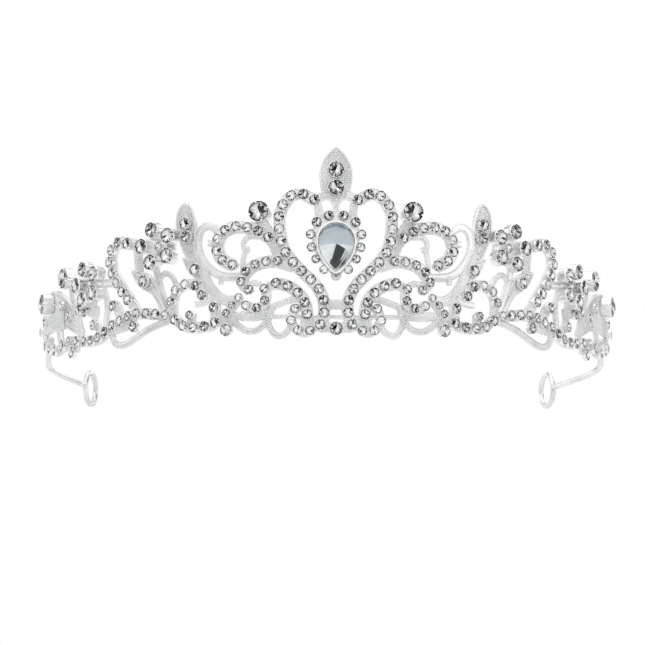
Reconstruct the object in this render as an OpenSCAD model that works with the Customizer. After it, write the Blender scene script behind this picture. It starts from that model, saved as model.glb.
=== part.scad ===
// Bridal tiara: curved band of silver-plated openwork castings, stone cups, stones, back bar and end wires.
// The ornament is drawn as a flat pattern, [distance along the band, height], and wrapped round the band.
// Origin: centre of the band's circle, at the height of its lower edge. The front faces -Y, up is +Z.

/* [Band] */
// Radius of the front face of the castings
band_r = 77.5; // [70:0.5:84]
// Depth of the castings, front to back
cast_depth = 1; // [0.8:0.1:2.4]
// Radius on which the pattern's lengths are measured
pattern_r = 78; // [74:0.5:84]

/* [Stones] */
// Height of a small stone cup above its casting
cup_h = 1.1; // [0.8:0.1:1.6]
// Height of the deep cups of the flowers and the big round stones
deep_cup_h = 2.8; // [2:0.1:3.4]
// Wall of a stone cup
cup_wall = 0.15; // [0.1:0.05:0.25]
// Floor of a stone cup
cup_floor = 0.4; // [0.3:0.1:0.6]
// Diameter of the stones beside the heart
big_d = 5; // [4:0.1:5.2]

/* [Pear stone] */
// Width of the pear stone
pear_w = 9.6; // [8:0.1:10.5]
// Height of the pear stone
pear_h = 12.4; // [11:0.1:13.5]
// Wall of its bezel
bezel_wall = 0.6; // [0.4:0.1:0.8]
// Height of its centre above the lower edge
pear_z = 22.8; // [22:0.1:23.4]

/* [Wires] */
// Diameter of the end wires
wire_d = 1.5; // [1.2:0.1:1.8]
// Mean radius of a pin loop
loop_r = 4.45; // [4:0.05:5]
// Diameter of the back bar
bar_d = 1.5; // [1.2:0.1:1.8]
// Length of the back bar
bar_len = 50; // [44:1:52]
// Height of the back bar
bar_z = 6; // [5:0.1:8]

/* [Hidden] */
$fn = 32;

plate = "#d9dade";
stone_white = "#eef3f6";
deg_per_mm = 180 / (PI * pattern_r);
steps = 3;          // pieces of curve between two points of a strand
cup_sink = 0.1;     // how far a cup is soldered into its casting
crown = 0.2;        // height of a stone's crown, as a share of its diameter
girdle_gap = 0.15;  // how far a girdle stands below its cup's lip
bezel_floor = 0.5;  // floor of the pear stone's bezel
bezel_h = 1.8;      // how far the bezel stands out of the castings
foil_t = 0.2;
halo_w = 12.8;      // outline of the plate that carries the halo
halo_h = 17;
halo_z = 24;
halo_tip_r = 1.4;
table_share = 0.55; // width of a stone's table, as a share of its diameter

// Strands of the flat pattern, for one side of the tiara: points, then the strand's width
heart = [[5.5, 35], [9, 36.7], [12, 35.7], [14.2, 32.3], [14.4, 28], [13.5, 23.2], [11.2, 19.5], [8, 16.2],
    [5, 13.2], [3.3, 10], [3, 6.5], [4, 3.2]];
heart_bridge = [[5.5, 35.6], [4.6, 33.4], [4.3, 31], [4.9, 29]];
heart_tip = [[2.6, 36.4], [6.2, 35.1]];
upper_root = [[14.5, 22.5], [18, 26.4]];
upper_run = [[17.2, 25.6], [19.8, 27.3], [23.3, 28.5], [27, 28.5], [30, 26.8], [31, 23.6], [29.8, 20.6],
    [26.5, 18.9]];
upper_web = [[19, 30], [17, 26.8], [15.9, 23], [14, 20]];
upper_curl = [[20, 25.8], [22.4, 26], [23.9, 24.7], [23.7, 22.9], [22.4, 22.6]];
upper_stem = [[23, 23.6], [24, 20.8], [24.2, 17.5]];
upper_spur = [[31, 24.6], [33.5, 24.9]];
middle_root = [[11, 18.2], [15.8, 19.7]];
middle_run = [[14.8, 19.5], [17.5, 19.5], [20.6, 18.7], [23, 17], [24.3, 14.6], [22.2, 12.4]];
middle_ring = [[18.2, 12.5], [17.9, 10.6], [18.5, 8.6], [20.4, 7.6], [23, 8.4]];
ring_top = [[24.4, 12.9], [21, 14.1], [18.2, 13.3], [16, 13.4]];
chain = [[24.9, 10.5], [26.6, 8.7], [28.2, 6.6]];
chain_web = [[17, 6.1], [21, 5.5], [25, 5.9], [28, 5.4]];
chain_foot = [[28.2, 6.8], [28.4, 4.6], [28.3, 2.4]];
lower_root = [[17.2, 13.2], [14.4, 14]];
lower_run = [[15.2, 13.9], [12.2, 13.1], [9.6, 11.3], [7.9, 8.8], [7.3, 5.8]];
lower_loop = [[10.4, 7.3], [11.4, 5], [10.8, 2.8], [8.8, 1.4], [6.6, 1.7]];
lower_leg = [[7.7, 7.6], [7, 3.1]];
lower_foot = [[9, 3.2], [6, 3.2], [4, 3.2]];
plain_arc = [[17, 6.8], [16, 8], [13.5, 9], [10.5, 9.8], [8.5, 9.5]];
plain_loop = [[27.5, 6.2], [25.3, 3.3], [22.7, 1.9], [19.7, 2.4], [17.2, 5.2], [16.8, 7]];
plain_drop = [[17.4, 6.5], [17.2, 3.2], [15.2, 0.6], [12.8, 1.3], [11.2, 3.6]];
c_curve = [[30.5, 27.4], [33.3, 29.3], [36, 28], [36.6, 24.4], [35.3, 20.8], [32.6, 17.8], [29.5, 16.2],
    [24.6, 15.8]];
branch = [[37.6, 23], [35.3, 18.5], [33.9, 15], [31.6, 11.7], [28.5, 9.9], [25.8, 10]];
nib = [[30.1, 16.4], [30.1, 14.2]];
finger = [[37.2, 9.4], [35, 9.6], [32, 10.8]];
branch_foot = [[31.2, 11.4], [31.6, 8.5], [31.4, 4.5]];
rail_root = [[28, 5.9], [32.6, 4.5]];
rail = [[31.2, 4.3], [34, 3.5], [38, 3.4], [41, 4.3], [43.7, 6.4], [46.5, 7.2], [50.5, 7.7],
    [54, 8.1], [57.2, 7.7], [60, 6.8], [62.6, 6.1], [65.2, 4.9], [67.6, 3.6], [70, 2.8], [72.6, 2.5],
    [75.2, 2.6]];
hook = [[34.9, 11.5], [36.2, 13.6], [38.2, 14.6], [40.6, 14.3], [42.7, 13], [43.9, 10.4]];
hook_leg = [[43.8, 11.2], [43.6, 6.2]];
rail_post = [[38.4, 3.6], [38.2, 7]];
rail_web = [[56, 6.4], [60, 5.2], [63.4, 4.9]];
ridged_loop = [[44.5, 5.8], [48, 4.9], [52, 3.7], [56.5, 1.6], [60.3, 0.4], [63.3, 1], [64.6, 3], [64.4, 5]];
arch_root = [[51.5, 25.4], [55, 25.8], [59.4, 26.9]];
arch_run = [[58.4, 26.6], [61.8, 27.1], [64.3, 25], [64.7, 21.8], [63.2, 18.4], [60.7, 15], [57.8, 11.8]];
arch_foot = [[58.4, 12.4], [55, 8.2]];
arch_bar = [[55.6, 26], [54.8, 19]];
beaded_stem = [[49.4, 22], [49, 18], [47.2, 12.5], [44.6, 7]];
second_stem = [[50.6, 14], [48.4, 11], [46.2, 7.4]];
plain_curl = [[48.4, 16.4], [46.3, 17.9], [44.2, 16.8], [43, 14.6], [43.1, 12.8]];
arch_link = [[62.3, 16.6], [65, 17], [69.5, 17.2]];
outer_stem = [[69, 17], [66.5, 11.6], [67, 8], [67.4, 3.8]];
ring_link = [[67.2, 10.8], [63.2, 10.7], [61, 7]];
end_post = [[84, 19], [83.2, 16], [81.8, 12.8], [79.6, 8], [78.2, 3.4]];
end_stem = [[72.6, 15], [72.2, 9.5], [70.4, 6], [69.4, 3]];
end_cross = [[70.5, 10], [74.5, 10.4], [80.2, 11.2]];
end_panel = [[88, 9.6], [96, 9.8], [103, 9.6], [107.4, 9]];
end_rail = [[74.4, 2.6], [79, 3], [83.4, 3.3], [87.6, 2.6], [92.6, 1.8], [97, 2.6], [101, 4], [104.6, 6.2],
    [106.6, 9.4], [106.9, 12.6]];
end_strut = [[92, 9], [91, 5.6], [90, 2.6]];
end_hang = [[80.6, 3.4], [81.4, 0.6]];

// Flower centres, the turn of the first petal and the radius of the petal circle
inner_flower_at = [47.6, 24.8];
inner_flower_turn = 3;
inner_petal_r = 4.4;
outer_flower_at = [72.6, 17.2];
outer_flower_turn = 2;
outer_petal_r = 4.2;

// Leaves: [distance along the band, height, width] from base to tip
peak = [[0, 31, 2.4], [0, 33.4, 1.8], [0, 34.7, 3], [0, 36.2, 6.8], [0, 38, 7.8], [0, 42.2, 8.6],
    [0, 45.4, 6.4], [0, 47.4, 3.4], [0, 48.6, 0.8]];
tall = [[38.6, 21.6, 2.4], [39.3, 24, 3.8], [40, 28.6, 5.8], [40.4, 32.2, 5.2], [40.2, 34.5, 3.4],
    [40, 35.6, 0.8]];
small_leaf = [[34.2, 15.4, 2.2], [36.2, 17.6, 4], [38.4, 19.4, 3.6], [40.8, 21.3, 0.6]];
arch_leaf = [[57.2, 19.2, 1.2], [54.8, 17.6, 3.6], [52.4, 16, 4.2], [50.2, 14.2, 3], [48.8, 12.8, 1.6]];
end_leaf = [[77.8, 5, 1.6], [81, 7.2, 4], [86, 10.6, 6.8], [92, 13.4, 7.8], [98, 15, 6.8], [102.4, 15.8, 3]];

// Loose stones: place in the pattern, then diameter
big_at = [19.3, 32.1];
base_stone = [0, 2.2, 3.2];
peak_stones = [[0, 42.8, 3.8], [0, 38.2, 3.8]];
tall_stones = [[39.9, 30.2, 2.9], [39.5, 26.8, 2.9]];
halo_right = [[1.9, 30.9, 2.5], [4.9, 29.3, 2.5], [6.4, 26.2, 2.4], [6.2, 22.9, 2.3], [5.1, 19.9, 2.2],
    [3.1, 17.2, 2.2]];
branch_stones = [[36.9, 18.2, 2.9], [31.6, 8.2, 2.6]];
chain_stone = [28.3, 2.3, 3];
rail_stones = [[38.4, 6.6, 2.2], [55.9, 4.8, 2.7], [63.2, 10.7, 2.7]];
arch_stones = [[52.6, 16.2, 3]];
end_stones = [[78.4, 11.1, 2.5], [75.2, 10.1, 2.3], [71.2, 6.5, 2.5], [81.5, 0.3, 2.9], [79.2, 3.1, 2.4],
    [83.3, 3.4, 2.4], [87.4, 2.7, 2.8], [92.6, 1.8, 2.6], [97, 2.6, 2.4], [100.9, 4, 2.4], [88.1, 13.2, 2.4],
    [83.8, 10.2, 2.4], [102.2, 10.6, 2.4], [106.8, 8.4, 2.4], [98.1, 14.8, 5], [83.3, 19.9, 5]];

// Smooth curve through the points p, with n pieces between two points
function spline(a, b, c, d, t) = (2 * b + (c - a) * t + (2 * a - 5 * b + 4 * c - d) * t * t
    + (3 * b - a - 3 * c + d) * t * t * t) / 2;
function curve(p, n = steps) = concat([for (i = [0:len(p) - 2], k = [0:n - 1])
    spline(p[max(i - 1, 0)], p[i], p[i + 1], p[min(i + 2, len(p) - 1)], k / n)], [p[len(p) - 1]]);
// Distances from the start of the line p to each of its points
function reach(p) = [for (i = 0, s = 0; i < len(p); s = s + (i < len(p) - 1 ? norm(p[i + 1] - p[i]) : 0),
    i = i + 1) s];
function point_at(p, r, s, i = 0) = i >= len(p) - 2 || r[i + 1] >= s
    ? p[i] + (p[i + 1] - p[i]) * (s - r[i]) / (r[i + 1] - r[i]) : point_at(p, r, s, i + 1);
// count points evenly spaced along the line p, the first at its start and the last at its end
function spaced(p, count) = let (r = reach(p), total = r[len(p) - 1])
    [for (k = [0:count - 1]) point_at(p, r, total * k / (count - 1))];
// Point of the pattern, wrapped round the band at radius r
function wrap(p, r) = [r * sin(p[0] * deg_per_mm), -r * cos(p[0] * deg_per_mm), p[1]];
function unit(v) = v / norm(v);
function tangent(p, i) = unit(p[min(i + 1, len(p) - 1)] - p[max(i - 1, 0)]);
function ring_faces(rings, n) = concat([[for (k = [0:n - 1]) k]],
    [for (i = [0:rings - 2], k = [0:n - 1]) let (a = i * n + k, b = i * n + (k + 1) % n)
        [a, a + n, b + n, b]],
    [[for (k = [0:n - 1]) rings * n - 1 - k]]);
// Outline of a drop with its point down
function drop(w, h, n = 40) = [for (i = [0:n - 1]) let (t = 360 * i / n)
    [w / 2 * 1.12 * sin(t) * pow(sin(t / 2), 0.55), -h / 2 * cos(t)]];
// Places its children on the band: local Z points out, local Y points up
module on_band(p, r = band_r) {
    rotate([0, 0, p[0] * deg_per_mm]) translate([0, -r, p[1]]) rotate([90, 0, 0]) children();
}
module side(s) {
    if (s > 0) children();
    else mirror([1, 0, 0]) children();
}
// Flat ribbon that follows a line of the pattern and the band, with a width at each point
module ribbon(line, widths) {
    rings = [for (i = [0:len(line) - 1]) let (t = tangent(line, i), n = [-t[1], t[0]] * widths[i] / 2)
        [wrap(line[i] + n, band_r - cast_depth), wrap(line[i] + n, band_r),
         wrap(line[i] - n, band_r), wrap(line[i] - n, band_r - cast_depth)]];
    polyhedron([for (r = rings) each r], ring_faces(len(rings), 4));
}
// One strand of a casting, w wide
module strand(points, w) {
    line = curve(points);
    ribbon(line, [for (p = line) w]);
}
// One leaf of a casting
module leaf(points) {
    line = curve(points);
    ribbon([for (p = line) [p[0], p[1]]], [for (p = line) p[2]]);
}
// Joins overlapping strands into one casting; a size of 0 keeps every dimension
module one_casting() {
    resize([0, 0, 0]) union() children();
}
module cup(d, h) {
    rotate_extrude() polygon([[0, 0], [d / 2 + cup_wall, 0], [d / 2 + cup_wall, h], [d / 2, h],
        [d / 2, cup_floor], [0, cup_floor]]);
}
// Flat-backed stone that fills its cup from the floor and stands out of it
module stone(d, h) {
    lip = h - girdle_gap;
    rotate_extrude() polygon([[0, cup_floor], [d / 2, cup_floor], [d / 2, lip],
        [d / 2 * table_share, lip + d * crown], [0, lip + d * crown]]);
}
module cups(at, d, h = cup_h) {
    for (p = at) on_band(p, band_r - cup_sink) cup(d, h);
}
module stones(at, d, h = cup_h) {
    for (p = at) on_band(p, band_r - cup_sink) stone(d, h);
}
module loose_cups(list) {
    for (l = list) cups([l], l[2], l[2] > 4 ? deep_cup_h : cup_h);
}
module loose_stones(list) {
    for (l = list) stones([l], l[2], l[2] > 4 ? deep_cup_h : cup_h);
}
function petals(at, r, turn) = [for (i = [0:4]) at + r * [cos(turn + 72 * i), sin(turn + 72 * i)]];

// Rows of stones: evenly spaced places and the diameter, shared by the cups and the stones in them
heart_row = spaced(curve(heart), 15);
heart_d = 2.65;
scroll_rows = [[spaced(curve(upper_run), 9), 2.6], [spaced(curve(middle_run), 6), 2.45],
    [spaced(curve(middle_ring), 4), 2.35], [spaced(curve(chain), 3), 2.1], [spaced(curve(lower_run), 5), 2.6],
    [spaced(curve(lower_loop), 4), 2.4]];
rail_rows = [[spaced(curve(rail), 16), 2.6], [spaced(curve(hook), 5), 2.5]];
arch_row = spaced(curve(arch_run), 8);
arch_d = 2.7;
inner_petal_d = 3.7;
outer_petal_d = 3.7;
flower_centre_d = 2.4;

module centre_heart() color(plate) one_casting() {
    for (s = [-1, 1]) side(s) {
        strand(heart, 3.2);
        strand(heart_bridge, 2.2);
        strand(heart_tip, 2.4);
    }
    on_band([0, 8.4], band_r - cast_depth) translate([-3.5, -1.3, 0]) cube([7, 2.6, cast_depth]);
    on_band([0, 2.6], band_r - cast_depth) translate([-4, -1.4, 0]) cube([8, 2.8, cast_depth]);
}
module peak_leaf() color(plate) {
    leaf(peak);
    for (l = peak_stones) cups([l], l[2]);
}
module leaf_stones() color(stone_white) {
    loose_stones(peak_stones);
    for (s = [-1, 1]) side(s) loose_stones(tall_stones);
}
module pear_bezel() color(plate) on_band([0, pear_z], band_r - cast_depth) difference() {
    linear_extrude(cast_depth + bezel_h) polygon(drop(pear_w + 2 * bezel_wall, pear_h + 2 * bezel_wall));
    translate([0, 0, bezel_floor]) linear_extrude(cast_depth + bezel_h) polygon(drop(pear_w, pear_h));
}
module pear_foil() color("#c8ccd2") on_band([0, pear_z], band_r - cast_depth + bezel_floor)
    linear_extrude(foil_t) polygon(drop(pear_w, pear_h));
module pear_stone() color(stone_white) on_band([0, pear_z], band_r - cast_depth + bezel_floor + foil_t) {
    linear_extrude(2.2) polygon(drop(pear_w, pear_h));
    translate([0, 0, 2.2]) linear_extrude(0.9, scale = 0.7) polygon(drop(pear_w, pear_h));
}
module halo_setting() color(plate) {
    on_band([0, halo_z], band_r - cast_depth) linear_extrude(cast_depth) difference() {
        union() {
            polygon(drop(halo_w, halo_h));
            translate([0, -halo_h / 2 + 0.4]) circle(r = halo_tip_r);
        }
        translate([0, pear_z - halo_z]) polygon(drop(pear_w + 2 * bezel_wall, pear_h + 2 * bezel_wall));
    }
    for (s = [-1, 1]) side(s) loose_cups(halo_right);
}
module halo_stones() color(stone_white) for (s = [-1, 1]) side(s) loose_stones(halo_right);
module heart_cups() color(plate) {
    for (s = [-1, 1]) side(s) cups(heart_row, heart_d);
    loose_cups([base_stone]);
}
module heart_stones() color(stone_white) {
    for (s = [-1, 1]) side(s) stones(heart_row, heart_d);
    loose_stones([base_stone]);
}
module big_stone_cups() color(plate) for (s = [-1, 1]) side(s) on_band(big_at, band_r - cast_depth)
    cup(big_d, cast_depth + deep_cup_h);
module big_round_stones() color(stone_white) for (s = [-1, 1]) side(s)
    on_band(big_at, band_r - cast_depth) stone(big_d, cast_depth + deep_cup_h);

module upper_scroll(s) color(plate) side(s) one_casting() {
    strand(upper_root, 3.2);
    strand(upper_run, 3.5);
    strand(upper_web, 2.4);
    strand(upper_curl, 1.4);
    strand(upper_stem, 1.4);
    strand(upper_spur, 1.8);
}
module middle_scroll(s) color(plate) side(s) one_casting() {
    strand(middle_root, 3.2);
    strand(middle_run, 3.3);
    strand(middle_ring, 2.7);
    strand(ring_top, 1.6);
    strand(chain, 2.6);
    strand(chain_web, 2.2);
    strand(chain_foot, 3.2);
}
module lower_scroll(s) color(plate) side(s) one_casting() {
    strand(lower_root, 2.6);
    strand(lower_run, 3.2);
    strand(lower_loop, 2.6);
    strand(lower_leg, 3);
    strand(lower_foot, 3.4);
}
module plain_loops(s) color(plate) side(s) one_casting() {
    strand(plain_arc, 1.7);
    strand(plain_loop, 1.7);
    strand(plain_drop, 1.7);
}
module side_branch(s) color(plate) side(s) one_casting() {
    strand(c_curve, 2.2);
    strand(branch, 2.8);
    strand(nib, 1.4);
    strand(finger, 1.7);
    strand(branch_foot, 3);
    leaf(small_leaf);
}
module tall_leaf(s) color(plate) side(s) {
    leaf(tall);
    for (l = tall_stones) cups([l], l[2]);
}
module base_rail(s) color(plate) side(s) one_casting() {
    strand(rail_root, 3);
    strand(rail, 3);
    strand(hook, 2.8);
    strand(hook_leg, 2.6);
    strand(rail_post, 2.6);
    strand(rail_web, 2.8);
    strand(ridged_loop, 1.8);
}
module arch(s) color(plate) side(s) one_casting() {
    strand(arch_root, 3);
    strand(arch_run, 3.3);
    strand(arch_foot, 3);
    strand(arch_bar, 2.6);
    strand(beaded_stem, 1.9);
    strand(second_stem, 1.5);
    strand(plain_curl, 1.5);
    strand(arch_link, 2.2);
    strand(outer_stem, 1.7);
    strand(ring_link, 3);
    leaf(arch_leaf);
}
module end_piece(s) color(plate) side(s) one_casting() {
    strand(end_post, 2.6);
    strand(end_stem, 2.4);
    strand(end_cross, 2.8);
    strand(end_panel, 5);
    strand(end_rail, 3);
    strand(end_strut, 3);
    strand(end_hang, 3.2);
    leaf(end_leaf);
}
module flower(at, r, turn, petal_d) {
    on_band(at, band_r - cast_depth) cylinder(h = cast_depth, r = r);
    cups(petals(at, r, turn), petal_d, deep_cup_h);
    cups([at], flower_centre_d, cup_h);
}
module flower_stones(at, r, turn, petal_d) {
    stones(petals(at, r, turn), petal_d, deep_cup_h);
    stones([at], flower_centre_d, cup_h);
}
module inner_flower(s) color(plate) side(s)
    flower(inner_flower_at, inner_petal_r, inner_flower_turn, inner_petal_d);
module inner_flower_stones(s) color(stone_white) side(s)
    flower_stones(inner_flower_at, inner_petal_r, inner_flower_turn, inner_petal_d);
module outer_flower(s) color(plate) side(s)
    flower(outer_flower_at, outer_petal_r, outer_flower_turn, outer_petal_d);
module outer_flower_stones(s) color(stone_white) side(s)
    flower_stones(outer_flower_at, outer_petal_r, outer_flower_turn, outer_petal_d);

module scroll_cups(s) color(plate) side(s) {
    for (row = scroll_rows) cups(row[0], row[1]);
    loose_cups([chain_stone]);
}
module scroll_stones(s) color(stone_white) side(s) {
    for (row = scroll_rows) stones(row[0], row[1]);
    loose_stones([chain_stone]);
}
module rail_cups(s) color(plate) side(s) {
    for (row = rail_rows) cups(row[0], row[1]);
    loose_cups(concat(rail_stones, branch_stones));
}
module rail_stones(s) color(stone_white) side(s) {
    for (row = rail_rows) stones(row[0], row[1]);
    loose_stones(concat(rail_stones, branch_stones));
}
module arch_cups(s) color(plate) side(s) {
    cups(arch_row, arch_d);
    loose_cups(arch_stones);
}
module arch_stones(s) color(stone_white) side(s) {
    stones(arch_row, arch_d);
    loose_stones(arch_stones);
}
module end_cups(s) color(plate) side(s) loose_cups(end_stones);
module end_stones(s) color(stone_white) side(s) loose_stones(end_stones);

bar_y = -sqrt(pow(band_r - cast_depth, 2) - pow(bar_len / 2 - 1, 2)) + bar_d / 2;
module back_bar() color("silver") translate([-bar_len / 2, bar_y, bar_z]) rotate([0, 90, 0])
    cylinder(h = bar_len, d = bar_d);

// Route of the right end wire, from behind the end casting back to its pin loop
wire_route = [[74.2, -16, 6], [74.4, -13, 4.4], [74.8, -9, 2.3], [75, -3, 1], [74.4, 5, 0.5], [72.6, 13, 0.1],
    [69.9, 21, -0.3], [67.3, 28, -0.7], [65.9, 32, -0.9]];
loop_turn = 17;     // turn of the loop's plane from the Y axis
loop_at = wire_route[len(wire_route) - 1] + loop_r * [-sin(loop_turn), cos(loop_turn), -0.1];
wire_sides = 10;
module swept_wire(points) {
    p = curve(points, 3);
    rings = [for (i = [0:len(p) - 1]) let (t = tangent(p, i), a = unit(cross(t, [0, 0, 1])), b = cross(a, t))
        [for (k = [0:wire_sides - 1]) let (q = -360 * k / wire_sides)
            p[i] + wire_d / 2 * (cos(q) * a + sin(q) * b)]];
    polyhedron([for (r = rings) each r], ring_faces(len(rings), wire_sides));
}
module end_wire(s) color("silver") side(s) {
    swept_wire(wire_route);
    translate(loop_at) rotate([0, 0, loop_turn]) rotate([0, 90, 0])
        rotate_extrude() translate([loop_r, 0]) circle(d = wire_d);
}
bead_d = 2.6;
module solder_beads() color("silver") for (s = [-1, 1]) side(s) {
    translate([bar_len / 2 - 1.6, bar_y, bar_z]) sphere(d = bead_d);
    translate(wire_route[0]) sphere(d = bead_d);
}

centre_heart();
peak_leaf();
pear_bezel();
pear_foil();
pear_stone();
halo_setting();
halo_stones();
leaf_stones();
heart_cups();
heart_stones();
big_stone_cups();
big_round_stones();
back_bar();
solder_beads();
upper_scroll(-1);  // upper_scroll_left
upper_scroll(1);  // upper_scroll_right
middle_scroll(-1);  // middle_scroll_left
middle_scroll(1);  // middle_scroll_right
lower_scroll(-1);  // lower_scroll_left
lower_scroll(1);  // lower_scroll_right
plain_loops(-1);  // plain_loops_left
plain_loops(1);  // plain_loops_right
side_branch(-1);  // side_branch_left
side_branch(1);  // side_branch_right
tall_leaf(-1);  // tall_leaf_left
tall_leaf(1);  // tall_leaf_right
base_rail(-1);  // base_rail_left
base_rail(1);  // base_rail_right
arch(-1);  // arch_left
arch(1);  // arch_right
end_piece(-1);  // end_piece_left
end_piece(1);  // end_piece_right
inner_flower(-1);  // inner_flower_left
inner_flower(1);  // inner_flower_right
outer_flower(-1);  // outer_flower_left
outer_flower(1);  // outer_flower_right
end_wire(-1);  // end_wire_left
end_wire(1);  // end_wire_right
scroll_cups(-1);  // scroll_cups_left
scroll_cups(1);  // scroll_cups_right
rail_cups(-1);  // rail_cups_left
rail_cups(1);  // rail_cups_right
arch_cups(-1);  // arch_cups_left
arch_cups(1);  // arch_cups_right
end_cups(-1);  // end_cups_left
end_cups(1);  // end_cups_right
scroll_stones(-1);  // scroll_stones_left
scroll_stones(1);  // scroll_stones_right
rail_stones(-1);  // rail_stones_left
rail_stones(1);  // rail_stones_right
arch_stones(-1);  // arch_stones_left
arch_stones(1);  // arch_stones_right
end_stones(-1);  // end_stones_left
end_stones(1);  // end_stones_right
inner_flower_stones(-1);  // inner_flower_stones_left
inner_flower_stones(1);  // inner_flower_stones_right
outer_flower_stones(-1);  // outer_flower_stones_left
outer_flower_stones(1);  // outer_flower_stones_right
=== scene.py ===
# Bridal tiara: silver-plated castings bent round a band, set with foil-backed crystals.
import math
import random

import bmesh
import bpy
from mathutils import Matrix, Vector


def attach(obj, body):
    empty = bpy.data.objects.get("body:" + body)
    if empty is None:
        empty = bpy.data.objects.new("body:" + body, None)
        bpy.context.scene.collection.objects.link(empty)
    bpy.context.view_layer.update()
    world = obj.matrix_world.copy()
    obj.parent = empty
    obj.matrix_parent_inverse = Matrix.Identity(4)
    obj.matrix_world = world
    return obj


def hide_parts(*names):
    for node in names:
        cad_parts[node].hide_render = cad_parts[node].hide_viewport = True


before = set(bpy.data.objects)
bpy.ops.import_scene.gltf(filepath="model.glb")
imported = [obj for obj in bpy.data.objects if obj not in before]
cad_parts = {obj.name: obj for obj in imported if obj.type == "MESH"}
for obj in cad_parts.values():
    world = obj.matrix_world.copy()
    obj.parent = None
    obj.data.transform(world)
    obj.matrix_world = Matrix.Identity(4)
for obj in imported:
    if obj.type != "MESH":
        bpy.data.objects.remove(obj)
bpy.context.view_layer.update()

scene = bpy.context.scene
MM = 0.001

# ---------------------------------------------------------------- sizes, in millimetres

BAND_R = 77.5        # front face of the castings
PATTERN_R = 78       # radius that the flat pattern is wrapped on
CAST_DEPTH = 1
CUP_SINK = 0.1
CUP_H = 1.1
DEEP_CUP_H = 2.8
STONE_FIT = 0.93     # a stone's diameter, as a share of its cup's, so that the seat, painted dark as a shadow, shows round it
CRYSTAL_INDEX = 1.45
GIRDLE_GAP = 0.15    # a girdle stands this far below its cup's lip
BIG_D = 5
PEAR_W, PEAR_H, PEAR_Z = 9.6, 12.4, 22.8
BEZEL_WALL, BEZEL_H = 0.6, 1.8
BEZEL_FLOOR = 0.45   # just under the foil
GLASS_FLOOR = 0.8    # the pear stone's glass starts this far above its bezel's back
GIRDLE_RISE = 1.5    # and its girdle stands this far above the castings
TIP_ROWS = (1.15, 0.6)    # radii of the rings of grains on the halo's tip
HALO_W, HALO_H, HALO_Z, HALO_TIP_R = 12.8, 17, 24, 1.4
WIRE_D = 1.5
LOOP_R = 4.45
LOOP_TURN = math.radians(17)
BAR_LEN, BAR_Z, BAR_D = 50, 6, 1.5
SOLDER_D = 2.6

GRAIN_R = 0.24       # milled grains along the edges of the castings
GRAIN_PITCH = 0.56
LEAF_RECESS = 0.3    # a leaf's grained field lies this far below its rim
RIDGE_PITCH = 0.6    # cross ridges of the plain loops

# ---------------------------------------------------------------- the flat pattern

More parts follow.
